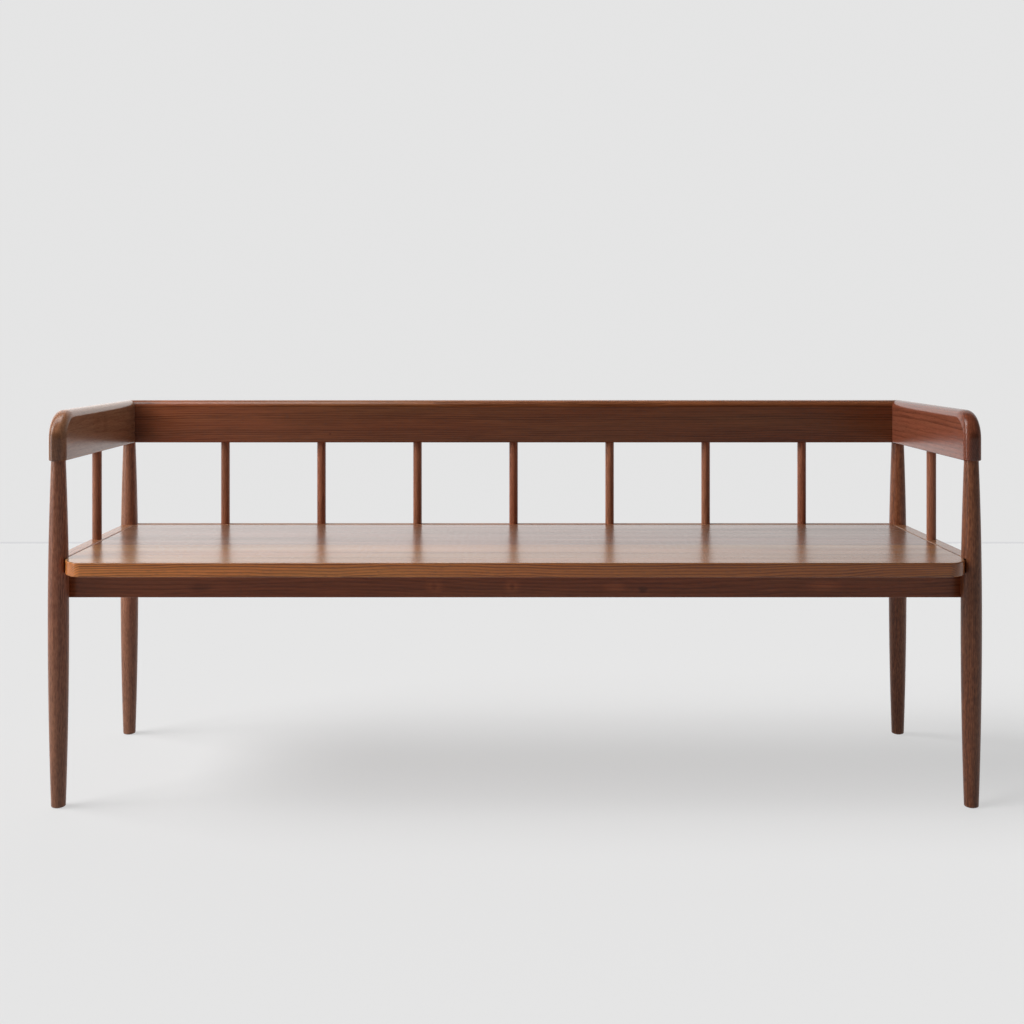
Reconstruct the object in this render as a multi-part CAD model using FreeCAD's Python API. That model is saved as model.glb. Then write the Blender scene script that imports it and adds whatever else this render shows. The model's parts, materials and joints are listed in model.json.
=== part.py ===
import FreeCAD, Part
import math
import os

# Deacons bench in solid walnut: four turned legs, a seat board on a rail frame, and a low rail of
# spindles that runs round three sides under mitred arms and back rail.
# Millimetres, +Z up, the front faces -Y, and the origin is on the floor at the middle of the bench.

Vector = FreeCAD.Vector

# Driving dimensions of the frame
leg_spacing_x = 1614.0            # between the leg centres, left to right
leg_spacing_y = 430.0             # between the leg centres, front to back
seat_height = 440.0               # floor to the top of the seat and of the side rails
arm_gap = 172.0                   # seat top to the underside of the arms
back_spindle_count = 7
side_spindle_count = 1

# Legs, each turned in one piece from the floor to the arm
leg_belly_diameter = 36.0
leg_belly_height = 330.0
leg_foot_diameter = 25.0
leg_top_diameter = 25.0
leg_foot_edge = 2.0               # radius of the rounded edge at the floor
leg_tenon_diameter = 16.0
leg_tenon_length = 30.0

# Arms and back rail
rail_thickness = 32.0
rail_height = 88.0
rail_round = 14.0                 # round-over along the top, down the nose and down the rear corners
rail_bottom_edge = 2.0
nose_radius = 50.0                # the arm's front top corner, seen from the side

# Spindles
spindle_diameter = 18.0
spindle_tenon_diameter = 12.0
spindle_tenon_length = 20.0

# Seat board
seat_thickness = 25.0
seat_overhang = 56.0              # front edge ahead of the front leg centres
seat_gap = 1.5                    # dark line between the board and the rails
seat_corner_width = 43.0
seat_corner_depth = 68.0
seat_edge = 2.0

# Rails that carry the seat
seat_rail_thickness = 25.0
seat_rail_height = 74.0
apron_thickness = 20.0            # close behind the front legs, its lower edge level with the rails'
frame_edge = 1.5                  # eased long edges of the rails and the apron

# Joints of the rails in the legs
shoulder_offset = 11.5            # leg centre to the shoulder of a rail
side_tenon_thickness = 10.0
side_tenon_height = 44.0
tenon_drop = 12.0                 # rail top to tenon top
mitre_gap = 0.5                   # each tenon tip to the mitre plane inside the leg

# Stub tenons of the apron in the side rails
apron_tenon_thickness = 8.0
apron_tenon_height = 26.0
apron_tenon_length = 8.0
apron_tenon_drop = 8.0            # board underside to tenon top

# Fit of wood in wood
cheek_fit = 0.1                   # clearance on each side of a tenon, a spline or a housed rail
end_fit = 1.0                     # room beyond the end of a tenon
tenon_chamfer = 1.0

# Loose splines in the rear mitres
spline_thickness = 6.0
spline_length = 26.0
spline_height = 36.0
spline_lift = 38.0                # rail underside to the bottom of the spline

# Bearers and cleats under the board
bearer_count = 3
bearer_width = 30.0
bearer_height = 38.0
bearer_tenon_width = 12.0
bearer_tenon_height = 12.0
bearer_tenon_length = 8.0
bearer_tenon_lift = 3.0           # bearer underside to the tenon
cleat_width = 20.0
cleat_height = 20.0
cleat_end = 24.0                  # rear leg centre to the end of a side cleat
cleat_corner_gap = 2.0

# Wood screws
screw_length = 35.0
screw_diameter = 4.0
screw_head_diameter = 8.0
screw_head_height = 2.4
screw_point = 5.0
screw_hole_diameter = 4.6         # clearance hole in a cleat or a bearer
driver_hole_diameter = 9.0
cross_width = 1.2
cross_length = 4.6
cross_depth = 1.6
side_cleat_screws = 3             # evenly along each side cleat, into the rail
side_seat_screws = 2              # evenly along each side cleat, into the board
bearer_seat_screws = 2            # evenly along each bearer
rear_cleat_screw_offset = 100.0   # each side of the middle of a bay between bearers

# Glides under the feet
glide_diameter = 18.0
glide_recess = 3.0
glide_stand = 1.0                 # how far a glide stands below the wood
glide_edge = 0.4
glide_pin_diameter = 3.0
glide_pin_length = 12.0

# Places worked out from the driving dimensions
leg_x = leg_spacing_x / 2
depth = seat_overhang + leg_spacing_y + leg_belly_diameter / 2
front_y = -depth / 2
front_leg_y = front_y + seat_overhang
rear_leg_y = front_leg_y + leg_spacing_y

arm_underside = seat_height + arm_gap
arm_top = arm_underside + rail_height
seat_underside = seat_height - seat_thickness
seat_rail_underside = seat_height - seat_rail_height
board_side = leg_x - seat_rail_thickness / 2 - seat_gap
board_rear = rear_leg_y - seat_rail_thickness / 2 - seat_gap

cleat_underside = seat_underside - cleat_height
bearer_underside = seat_underside - bearer_height
apron_front = front_leg_y + leg_belly_diameter / 2
apron_back = apron_front + apron_thickness
rear_rail_front = rear_leg_y - seat_rail_thickness / 2
side_rail_inside = leg_x - seat_rail_thickness / 2
side_cleat_front = apron_back + cleat_corner_gap
side_cleat_rear = rear_leg_y - cleat_end

UP = Vector(0, 0, 1)
INWARD = Vector(1, 0, 0)          # from a left-hand leg towards the middle of the bench
BACKWARD = Vector(0, 1, 0)
FORWARD = Vector(0, -1, 0)
ORIGIN = Vector(0, 0, 0)


def arc_radius(height, drop):
    """Radius of the arc that runs upright at one end and is set in by drop at the other."""
    return (height ** 2 + drop ** 2) / (2 * drop)


def leg_radius(z):
    """Radius of the turned leg at height z: two long arcs that meet upright at the belly."""
    belly = leg_belly_diameter / 2
    if z < leg_belly_height:
        span = leg_belly_height - glide_stand
        drop = belly - leg_foot_diameter / 2
    else:
        span = arm_underside - leg_belly_height
        drop = belly - leg_top_diameter / 2
    radius = arc_radius(span, drop)
    return belly - radius + math.sqrt(radius ** 2 - (z - leg_belly_height) ** 2)


def leg_arc(z_from, z_to):
    """Edge of the leg's outline between two heights on one side of the belly."""
    z_middle = (z_from + z_to) / 2
    points = [Vector(leg_radius(z), 0, z) for z in (z_from, z_middle, z_to)]
    return Part.Arc(*points).toShape()


def turned(edges):
    """Solid of a closed outline in the XZ plane, turned about the Z axis."""
    outline = Part.Face(Part.Wire(edges))
    return outline.revolve(ORIGIN, UP, 360)


def polyline(points):
    """Edges through the points, one after the other."""
    pairs = zip(points[:-1], points[1:])
    return [Part.makeLine(start, end) for start, end in pairs]


def prism(points, z_low, z_high):
    """Upright solid over a closed outline of (x, y) points."""
    corners = [Vector(x, y, z_low) for x, y in points]
    outline = Part.Face(Part.makePolygon(corners + corners[:1]))
    return outline.extrude(Vector(0, 0, z_high - z_low))


def box(x_low, x_high, y_low, y_high, z_low, z_high):
    corner = Vector(x_low, y_low, z_low)
    return Part.makeBox(x_high - x_low, y_high - y_low, z_high - z_low, corner)


def mirrored(shape):
    """The right-hand twin of a left-hand piece."""
    return shape.mirror(ORIGIN, INWARD)


def spread(count, pitch):
    """Places of count things at an even pitch about zero."""
    return [(i - (count - 1) / 2) * pitch for i in range(count)]


def evenly_between(low, high, count):
    """Places that divide a span into count + 1 equal bays."""
    bay = (high - low) / (count + 1)
    return [low + bay * (i + 1) for i in range(count)]


def long_edges(shape, direction):
    """The straight edges of a rail that run along its length."""
    chosen = []
    for edge in shape.Edges:
        start, end = edge.firstVertex().Point, edge.lastVertex().Point
        run = end - start
        if abs(abs(run.dot(direction)) - run.Length) < 1e-6:
            chosen.append(edge)
    return chosen


back_spindle_x = evenly_between(-leg_x, leg_x, back_spindle_count)
side_spindle_y = evenly_between(front_leg_y, rear_leg_y, side_spindle_count)
bearer_x = evenly_between(-leg_x, leg_x, bearer_count)
bearer_bay = leg_spacing_x / (bearer_count + 1)
bay_middle_x = spread(bearer_count + 1, bearer_bay)
bearer_screw_y = evenly_between(apron_back, rear_rail_front - cleat_width, bearer_seat_screws)


# Joints: each tenon is drawn once and serves as its own mortise when it is given clearance

def round_tenon(diameter, length, chamfer, clearance, extra):
    """Round tenon that stands on the XY plane; its mortise has clearance about it and extra depth."""
    radius = diameter / 2 + clearance
    tip = length + extra
    outline = [
        Vector(0, 0, 0),
        Vector(radius, 0, 0),
        Vector(radius, 0, tip - chamfer),
        Vector(radius - chamfer, 0, tip),
        Vector(0, 0, tip),
        Vector(0, 0, 0),
    ]
    return turned(polyline(outline))


def leg_tenon_hole(y):
    """Mortise for the top of a left-hand leg, cut into the underside of an arm."""
    hole = round_tenon(leg_tenon_diameter, leg_tenon_length, tenon_chamfer, cheek_fit, end_fit)
    return hole.translated(Vector(-leg_x, y, arm_underside))


def corner_prism(axis_y, along, across, half, z_low, z_high, gap):
    """Tenon that runs from a rail's shoulder to the mitre plane through a left-hand leg's axis."""
    sides = [
        (shoulder_offset, -half),
        (shoulder_offset, half),
        (half + gap, half),
        (gap - half, -half),
    ]
    points = []
    for reach, offset in sides:
        place = along * reach + across * offset
        points.append((place.x - leg_x, place.y + axis_y))
    return prism(points, z_low, z_high)


def side_tenon(axis_y, along, across, fit):
    """Tenon of a side or rear seat rail, or with fit its mortise in the leg."""
    top = seat_height - tenon_drop
    gap = 0.0 if fit else mitre_gap
    half = side_tenon_thickness / 2 + fit
    return corner_prism(axis_y, along, across, half, top - side_tenon_height - fit, top + fit, gap)


def apron_tenon(fit):
    """Stub tenon of the apron, going both ways through the left-hand rail's face so it serves either piece."""
    middle = apron_front + apron_thickness / 2
    half = apron_tenon_thickness / 2 + fit
    reach = apron_tenon_length + (end_fit if fit else 0.0)
    top = seat_underside - apron_tenon_drop
    return box(
        -side_rail_inside - reach, -side_rail_inside + reach,
        middle - half, middle + half,
        top - apron_tenon_height - fit, top + fit,
    )


def housing(axis_y, along, half, z_low, z_high):
    """Flat-bottomed seat that a rail's square end stands in, from its shoulder out of the leg."""
    across = Vector(-along.y, along.x, 0) * (half + cheek_fit)
    reach = leg_belly_diameter
    points = []
    for out, side in ((shoulder_offset, -1), (reach, -1), (reach, 1), (shoulder_offset, 1)):
        place = along * out + across * side
        points.append((place.x - leg_x, place.y + axis_y))
    return prism(points, z_low - cheek_fit, z_high + cheek_fit)


def leg_blank():
    """Turned leg on the Z axis with its foot edge, its top shoulder and its round tenon."""
    foot = leg_radius(glide_stand)
    edge_top = glide_stand + leg_foot_edge
    edge_centre = Vector(foot - leg_foot_edge, 0, edge_top)
    slant = leg_foot_edge * math.sqrt(0.5)
    tenon_radius = leg_tenon_diameter / 2
    tenon_top = arm_underside + leg_tenon_length
    foot_start = Vector(edge_centre.x, 0, glide_stand)
    foot_middle = edge_centre + Vector(slant, 0, -slant)
    foot_end = Vector(leg_radius(edge_top), 0, edge_top)
    base = Vector(0, 0, glide_stand)
    head = [
        Vector(leg_radius(arm_underside), 0, arm_underside),
        Vector(tenon_radius, 0, arm_underside),
        Vector(tenon_radius, 0, tenon_top - tenon_chamfer),
        Vector(tenon_radius - tenon_chamfer, 0, tenon_top),
        Vector(0, 0, tenon_top),
        base,
    ]
    edges = [
        Part.makeLine(base, foot_start),
        Part.Arc(foot_start, foot_middle, foot_end).toShape(),
        leg_arc(edge_top, leg_belly_height),
        leg_arc(leg_belly_height, arm_underside),
    ]
    return turned(edges + polyline(head))


def glide_shape(clearance):
    """Tap-in glide on the Z axis: a disc let into the foot, with a pin above it."""
    disc_top = glide_stand + glide_recess
    radius = glide_diameter / 2 + clearance
    pin = glide_pin_diameter / 2
    outline = [
        Vector(0, 0, 0),
        Vector(radius - glide_edge, 0, 0),
        Vector(radius, 0, glide_edge),
        Vector(radius, 0, disc_top),
        Vector(pin, 0, disc_top),
        Vector(pin, 0, disc_top + glide_pin_length),
        Vector(0, 0, disc_top + glide_pin_length),
        Vector(0, 0, 0),
    ]
    return turned(polyline(outline))


def left_leg(y, towards_side_rail):
    """Leg with its recess for the glide, and the seat and mortise of its side rail."""
    leg = leg_blank().cut(glide_shape(cheek_fit)).translated(Vector(-leg_x, y, 0))
    half = seat_rail_thickness / 2
    seat = housing(y, towards_side_rail, half, seat_rail_underside, seat_height)
    mortise = side_tenon(y, towards_side_rail, INWARD, cheek_fit)
    return leg.cut(seat).cut(mortise)


def front_left_leg():
    """Front leg, notched flush with the side rail where the seat board passes it."""
    leg = left_leg(front_leg_y, BACKWARD)
    half = leg_belly_diameter
    notch = box(
        -side_rail_inside, -side_rail_inside + half,
        front_leg_y - half, front_leg_y + half,
        seat_underside - cheek_fit, seat_height + cheek_fit,
    )
    return leg.cut(notch)


def rear_left_leg():
    leg = left_leg(rear_leg_y, FORWARD)
    half = seat_rail_thickness / 2
    leg = leg.cut(housing(rear_leg_y, INWARD, half, seat_rail_underside, seat_height))
    return leg.cut(side_tenon(rear_leg_y, INWARD, FORWARD, cheek_fit))


def spindle_tenon(clearance, extra):
    return round_tenon(spindle_tenon_diameter, spindle_tenon_length, tenon_chamfer, clearance, extra)


def spindle(x, y):
    """Straight spindle with a round tenon at each end."""
    body = Part.makeCylinder(spindle_diameter / 2, arm_gap, Vector(x, y, seat_height))
    upper = spindle_tenon(0.0, 0.0).translated(Vector(x, y, arm_underside))
    lower = spindle_tenon(0.0, 0.0).mirror(ORIGIN, UP).translated(Vector(x, y, seat_height))
    return body.fuse([upper, lower]).removeSplitter()


def spindle_holes(places):
    """Mortises above and below a row of spindles."""
    upper = spindle_tenon(cheek_fit, end_fit)
    lower = upper.mirror(ORIGIN, UP)
    holes = []
    for x, y in places:
        holes.append(upper.translated(Vector(x, y, arm_underside)))
        holes.append(lower.translated(Vector(x, y, seat_height)))
    return holes


# Arms and back rail: one blank, rounded over in one go, then parted at the mitres

def arm_outline():
    """Outline of an arm seen from the side."""
    front = front_leg_y - rail_thickness / 2
    rear = rear_leg_y + rail_thickness / 2
    x = -leg_x - rail_thickness / 2
    bend = Vector(x, front + nose_radius, arm_top - nose_radius)
    slant = nose_radius * math.sqrt(0.5)
    nose_top = Vector(x, bend.y, arm_top)
    nose_front = Vector(x, front, bend.z)
    straight = [
        nose_front,
        Vector(x, front, arm_underside),
        Vector(x, rear, arm_underside),
        Vector(x, rear, arm_top),
        nose_top,
    ]
    nose = Part.Arc(nose_top, bend + Vector(0, -slant, slant), nose_front).toShape()
    return Part.Face(Part.Wire(polyline(straight) + [nose]))


def is_rounded_over(edge):
    """The top edges, the nose and the outer rear corners take the round-over."""
    if isinstance(edge.Curve, Part.Circle):
        return True
    start, end = edge.firstVertex().Point, edge.lastVertex().Point
    nose_front = front_leg_y - rail_thickness / 2
    at_top = min(start.z, end.z) > arm_top - 1e-6
    across_nose = abs(start.y - end.y) < 1e-6 and start.y < front_leg_y + nose_radius
    upright = abs(start.x - end.x) < 1e-6 and abs(start.y - end.y) < 1e-6
    at_front = abs(start.y - nose_front) < 1e-6
    at_rear = start.y > rear_leg_y
    return (at_top and not across_nose) or (upright and (at_front or at_rear))


def rail_blank():
    """The three-sided blank of the arms and the back rail."""
    left = arm_outline().extrude(Vector(rail_thickness, 0, 0))
    back = box(
        -leg_x, leg_x,
        rear_leg_y - rail_thickness / 2, rear_leg_y + rail_thickness / 2,
        arm_underside, arm_top,
    )
    blank = left.fuse([mirrored(left), back]).removeSplitter()
    blank = blank.makeFillet(rail_round, [e for e in blank.Edges if is_rounded_over(e)])
    under = [e for e in blank.Edges if e.BoundBox.ZMax < arm_underside + 1e-6]
    return blank.makeFillet(rail_bottom_edge, under)


def left_of_mitre():
    """Everything on the arm's side of the left-hand mitre."""
    reach = rail_thickness
    front = front_leg_y - reach
    points = [
        (-leg_x - reach, rear_leg_y + reach),
        (-leg_x + reach, rear_leg_y - reach),
        (-leg_x + reach, front),
        (-leg_x - reach, front),
    ]
    return prism(points, arm_underside - reach, arm_top + reach)


def mitre_spline(fit):
    """Loose spline square to the left-hand mitre, or with fit the slot for it."""
    half_length = spline_length / 2 + (end_fit if fit else 0.0)
    half_thickness = spline_thickness / 2 + fit
    low = arm_underside + spline_lift
    plate = box(-half_length, half_length, -half_thickness, half_thickness, low, low + spline_height)
    plate.rotate(ORIGIN, UP, 45)
    return plate.translated(Vector(-leg_x, rear_leg_y, 0))


def left_arm(blank):
    arm = blank.common(left_of_mitre())
    cuts = [leg_tenon_hole(front_leg_y), leg_tenon_hole(rear_leg_y), mitre_spline(cheek_fit)]
    cuts += spindle_holes([(-leg_x, y) for y in side_spindle_y])
    return arm.cut(cuts)


def back_rail(blank):
    rail = blank.cut([left_of_mitre(), mirrored(left_of_mitre())])
    corner_cuts = [leg_tenon_hole(rear_leg_y), mitre_spline(cheek_fit)]
    cuts = corner_cuts + [mirrored(cut) for cut in corner_cuts]
    cuts += spindle_holes([(x, rear_leg_y) for x in back_spindle_x])
    return rail.cut(cuts)


# Seat frame

def beyond_corner(along, across):
    """What a rail leaves to its neighbour at a rear left-hand leg: the far side of the mitre plane."""
    reach = seat_rail_thickness
    points = []
    for out, side in ((0, 0), (0, reach), (reach, reach)):
        place = along * out + across * side
        points.append((place.x - leg_x, place.y + rear_leg_y))
    return prism(points, seat_rail_underside - reach, seat_height + reach)


def left_seat_rail():
    """Side rail, level with the seat board, with mitred tenons in both legs."""
    front = front_leg_y + shoulder_offset
    rear = rear_leg_y - shoulder_offset
    half = seat_rail_thickness / 2
    body = box(-leg_x - half, -leg_x + half, front, rear, seat_rail_underside, seat_height)
    body = body.makeFillet(frame_edge, long_edges(body, BACKWARD)).cut(beyond_corner(FORWARD, INWARD))
    tenons = [
        side_tenon(front_leg_y, BACKWARD, INWARD, 0.0),
        side_tenon(rear_leg_y, FORWARD, INWARD, 0.0),
    ]
    cuts = spindle_holes([(-leg_x, y) for y in side_spindle_y]) + [apron_tenon(cheek_fit)]
    return body.fuse(tenons).cut(cuts + side_cleat_screw_shapes())


def rear_seat_rail():
    """Rail behind the seat board that the back spindles stand on."""
    span = leg_x - shoulder_offset
    half = seat_rail_thickness / 2
    body = box(-span, span, rear_leg_y - half, rear_leg_y + half, seat_rail_underside, seat_height)
    corner = beyond_corner(INWARD, FORWARD)
    body = body.makeFillet(frame_edge, long_edges(body, INWARD)).cut([corner, mirrored(corner)])
    tenon = side_tenon(rear_leg_y, INWARD, FORWARD, 0.0)
    cuts = spindle_holes([(x, rear_leg_y) for x in back_spindle_x])
    cuts += [bearer_tenon_at(x, rear_rail_front, cheek_fit) for x in bearer_x]
    return body.fuse([tenon, mirrored(tenon)]).cut(cuts + rear_cleat_screw_shapes())


def front_apron():
    """Apron set back under the overhanging front of the seat board, from side rail to side rail."""
    span = side_rail_inside
    body = box(-span, span, apron_front, apron_back, seat_rail_underside, seat_underside)
    body = body.makeFillet(frame_edge, long_edges(body, INWARD))
    cuts = [bearer_tenon_at(x, apron_back, cheek_fit) for x in bearer_x]
    return body.fuse([apron_tenon(0.0), mirrored(apron_tenon(0.0))]).cut(cuts)


def quarter_ellipse(centre, across, along):
    """Edge that turns from centre + along to centre + across, whichever of the two is longer."""
    if along.Length > across.Length:
        ellipse = Part.Ellipse(centre + along, centre + across, centre)
        return Part.Arc(ellipse, 0.0, math.pi / 2).toShape()
    ellipse = Part.Ellipse(centre + across, centre - along, centre)
    return Part.Arc(ellipse, -math.pi / 2, 0.0).toShape()


def seat_board():
    """Seat board with soft front corners, bored from below for its screws."""
    soft_y = front_y + seat_corner_depth
    soft_x = board_side - seat_corner_width
    corner = Vector(soft_x, soft_y, seat_underside)
    right = quarter_ellipse(corner, INWARD * seat_corner_width, FORWARD * seat_corner_depth)
    front = Part.makeLine(
        Vector(-soft_x, front_y, seat_underside), Vector(soft_x, front_y, seat_underside))
    sides = polyline([
        Vector(board_side, soft_y, seat_underside),
        Vector(board_side, board_rear, seat_underside),
        Vector(-board_side, board_rear, seat_underside),
        Vector(-board_side, soft_y, seat_underside),
    ])
    edges = Part.__sortEdges__([front, right, mirrored(right)] + sides)
    board = Part.Face(Part.Wire(edges)).extrude(UP * seat_thickness)
    rims = [e for e in board.Edges if e.BoundBox.ZLength < 1e-6]
    return board.makeFillet(seat_edge, rims).cut(seat_screw_shapes())


def bearer_tenon_at(x, face_y, fit):
    """Stub tenon of a bearer, going both ways through the face at face_y so it serves either end."""
    half = bearer_tenon_width / 2 + fit
    reach = bearer_tenon_length + (end_fit if fit else 0.0)
    low = bearer_underside + bearer_tenon_lift - fit
    high = bearer_underside + bearer_tenon_lift + bearer_tenon_height + fit
    return box(x - half, x + half, face_y - reach, face_y + reach, low, high)


def cross_bearer(x):
    """Bearer under the board from the apron to the rear rail, notched under the rear cleat."""
    half = bearer_width / 2
    body = box(x - half, x + half, apron_back, rear_rail_front, bearer_underside, seat_underside)
    notch = box(
        x - bearer_width, x + bearer_width,
        rear_rail_front - cleat_width - cheek_fit, rear_leg_y,
        cleat_underside - cheek_fit, seat_underside + cheek_fit,
    )
    tenons = [bearer_tenon_at(x, apron_back, 0.0), bearer_tenon_at(x, rear_rail_front, 0.0)]
    holes = [driver_hole(x, y) for y in bearer_screw_y]
    return body.fuse(tenons).cut([notch] + holes).removeSplitter()


# Screws: all one size, upwards into the board or sideways through a cleat into its rail

def screw():
    """Countersunk screw with its head on the XY plane and its point up +Z."""
    shank = screw_diameter / 2
    outline = [
        Vector(0, 0, 0),
        Vector(screw_head_diameter / 2, 0, 0),
        Vector(shank, 0, screw_head_height),
        Vector(shank, 0, screw_length - screw_point),
        Vector(0, 0, screw_length),
        Vector(0, 0, 0),
    ]
    body = turned(polyline(outline))
    bars = []
    for length, width in ((cross_length, cross_width), (cross_width, cross_length)):
        bars.append(box(-length / 2, length / 2, -width / 2, width / 2, 0, cross_depth))
    return body.cut(bars)


def screw_pocket():
    """Room for a screw: a countersunk seat and clearance hole, then a close hole in the next piece."""
    shank = screw_diameter / 2
    hole = screw_hole_diameter / 2
    head = screw_head_diameter / 2
    outline = [
        Vector(0, 0, 0),
        Vector(head, 0, 0),
        Vector(hole, 0, screw_head_height * (head - hole) / (head - shank)),
        Vector(hole, 0, cleat_height),
        Vector(shank, 0, cleat_height),
        Vector(shank, 0, screw_length - screw_point),
        Vector(0, 0, screw_length),
        Vector(0, 0, 0),
    ]
    return turned(polyline(outline))


def facing(shape, direction):
    """A shape that points up +Z, turned to point along direction."""
    turned_shape = shape.copy()
    turned_shape.Placement = FreeCAD.Placement(ORIGIN, FreeCAD.Rotation(UP, direction))
    return turned_shape


def along_side_cleat(count):
    """Places that divide a side cleat evenly."""
    return evenly_between(side_cleat_front, side_cleat_rear, count)


def seat_screw_places():
    """Head centres of the screws that go up into the board."""
    inside = side_rail_inside - cleat_width / 2
    places = [(x, y) for x in (-inside, inside) for y in along_side_cleat(side_seat_screws)]
    rear_y = rear_rail_front - cleat_width / 2
    places += [(x, rear_y) for x in bay_middle_x]
    places += [(x, y) for x in bearer_x for y in bearer_screw_y]
    return [Vector(x, y, cleat_underside) for x, y in places]


def side_cleat_screw_places():
    """Head centres of the screws through the left-hand cleat."""
    x = -side_rail_inside + cleat_width
    z = cleat_underside + cleat_height / 2
    return [Vector(x, y, z) for y in along_side_cleat(side_cleat_screws)]


def rear_cleat_screw_places():
    """Head centres of the screws through the rear cleat, a pair in each bay between bearers."""
    y = rear_rail_front - cleat_width
    z = cleat_underside + cleat_height / 2
    pair = (-rear_cleat_screw_offset, rear_cleat_screw_offset)
    return [Vector(middle + x, y, z) for middle in bay_middle_x for x in pair]


def seat_screw_shapes():
    return [screw_pocket().translated(place) for place in seat_screw_places()]


def side_cleat_screw_shapes():
    pocket = facing(screw_pocket(), -INWARD)
    return [pocket.translated(place) for place in side_cleat_screw_places()]


def rear_cleat_screw_shapes():
    pocket = facing(screw_pocket(), BACKWARD)
    return [pocket.translated(place) for place in rear_cleat_screw_places()]


def driver_hole(x, y):
    """Bore up through a bearer for a seat screw, wide enough for the driver below the head."""
    wide = Part.makeCylinder(
        driver_hole_diameter / 2, cleat_underside - bearer_underside, Vector(x, y, bearer_underside))
    return wide.fuse(screw_pocket().translated(Vector(x, y, cleat_underside)))


def left_cleat():
    """Cleat on the inside of the left-hand rail that carries the edge of the board."""
    body = box(
        -side_rail_inside, -side_rail_inside + cleat_width,
        side_cleat_front, side_cleat_rear,
        cleat_underside, seat_underside,
    )
    return body.cut(side_cleat_screw_shapes() + seat_screw_shapes())


def rear_cleat():
    """Cleat on the inside of the rear rail, between the side cleats."""
    span = side_rail_inside - cleat_width - cleat_corner_gap
    front = rear_rail_front - cleat_width
    body = box(-span, span, front, rear_rail_front, cleat_underside, seat_underside)
    return body.cut(rear_cleat_screw_shapes() + seat_screw_shapes())


def cleat_screws():
    side = facing(screw(), -INWARD)
    rear = facing(screw(), BACKWARD)
    left = [side.translated(place) for place in side_cleat_screw_places()]
    right = [mirrored(one) for one in left]
    return left + right + [rear.translated(place) for place in rear_cleat_screw_places()]


def seat_screws():
    return [screw().translated(place) for place in seat_screw_places()]


def build():
    """Every piece of the bench by name."""
    blank = rail_blank()
    pieces = {
        "front_left_leg": front_left_leg(),
        "rear_left_leg": rear_left_leg(),
        "left_arm": left_arm(blank),
        "left_seat_rail": left_seat_rail(),
        "left_cleat": left_cleat(),
        "left_mitre_spline": mitre_spline(0.0),
        "front_left_glide": glide_shape(0.0).translated(Vector(-leg_x, front_leg_y, 0)),
        "rear_left_glide": glide_shape(0.0).translated(Vector(-leg_x, rear_leg_y, 0)),
    }
    for number, y in enumerate(side_spindle_y, 1):
        suffix = "" if side_spindle_count == 1 else "_%d" % number
        pieces["left_side_spindle" + suffix] = spindle(-leg_x, y)
    for name in list(pieces):
        pieces[name.replace("left", "right")] = mirrored(pieces[name])
    for number, x in enumerate(back_spindle_x, 1):
        pieces["back_spindle_%d" % number] = spindle(x, rear_leg_y)
    for number, x in enumerate(bearer_x, 1):
        pieces["cross_bearer_%d" % number] = cross_bearer(x)
    pieces["back_rail"] = back_rail(blank)
    pieces["rear_seat_rail"] = rear_seat_rail()
    pieces["front_apron"] = front_apron()
    pieces["seat_board"] = seat_board()
    pieces["rear_cleat"] = rear_cleat()
    pieces["cleat_screws"] = Part.makeCompound(cleat_screws())
    pieces["seat_screws"] = Part.makeCompound(seat_screws())
    return pieces


os.makedirs("parts", exist_ok=True)
for node, shape in build().items():
    shape.exportStep("parts/%s.step" % node)
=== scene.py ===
import bmesh
import bpy
import json
import math
from bpy.props import (
    FloatProperty,
    FloatVectorProperty,
    IntProperty,
    PointerProperty,
)
from bpy.types import Operator, Panel, PropertyGroup
from mathutils import Matrix, Vector

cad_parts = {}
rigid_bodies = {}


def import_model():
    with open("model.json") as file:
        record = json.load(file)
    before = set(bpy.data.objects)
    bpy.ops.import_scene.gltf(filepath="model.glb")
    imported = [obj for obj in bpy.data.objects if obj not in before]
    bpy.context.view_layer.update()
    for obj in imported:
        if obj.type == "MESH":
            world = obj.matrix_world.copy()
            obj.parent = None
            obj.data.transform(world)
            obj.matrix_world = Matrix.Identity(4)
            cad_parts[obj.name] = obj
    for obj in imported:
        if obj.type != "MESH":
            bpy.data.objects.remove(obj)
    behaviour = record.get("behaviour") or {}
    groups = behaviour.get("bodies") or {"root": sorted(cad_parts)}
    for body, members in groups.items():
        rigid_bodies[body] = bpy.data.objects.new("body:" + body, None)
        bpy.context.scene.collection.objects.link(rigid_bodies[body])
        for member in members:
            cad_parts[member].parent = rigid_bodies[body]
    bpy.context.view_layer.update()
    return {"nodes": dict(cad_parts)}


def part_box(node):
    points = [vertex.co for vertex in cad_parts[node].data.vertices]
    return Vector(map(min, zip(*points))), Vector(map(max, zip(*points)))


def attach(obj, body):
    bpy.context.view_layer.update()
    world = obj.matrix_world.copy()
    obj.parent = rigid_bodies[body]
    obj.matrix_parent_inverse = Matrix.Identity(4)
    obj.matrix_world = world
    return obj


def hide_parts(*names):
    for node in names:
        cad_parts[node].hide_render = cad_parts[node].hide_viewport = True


bl_info = {
    "name": "Deacons Bench",
    "version": (1, 0, 0),
    "blender": (4, 5, 0),
    "location": "3D View > Sidebar > Bench",
    "description": "Models and finishes a long walnut bench with turned legs and a spindle back",
    "category": "Add Mesh",
}

for leftover in list(bpy.data.objects):
    bpy.data.objects.remove(leftover)

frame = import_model()

BODY = "root"
UP = Vector((0, 0, 1))
TINY = 1e-5
SHARP_ANGLE = math.radians(38)
CORNER_ANGLE = 0.5


def centre_of(node):
    """Middle of a node's box."""
    low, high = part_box(node)
    return (low + high) / 2


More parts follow.
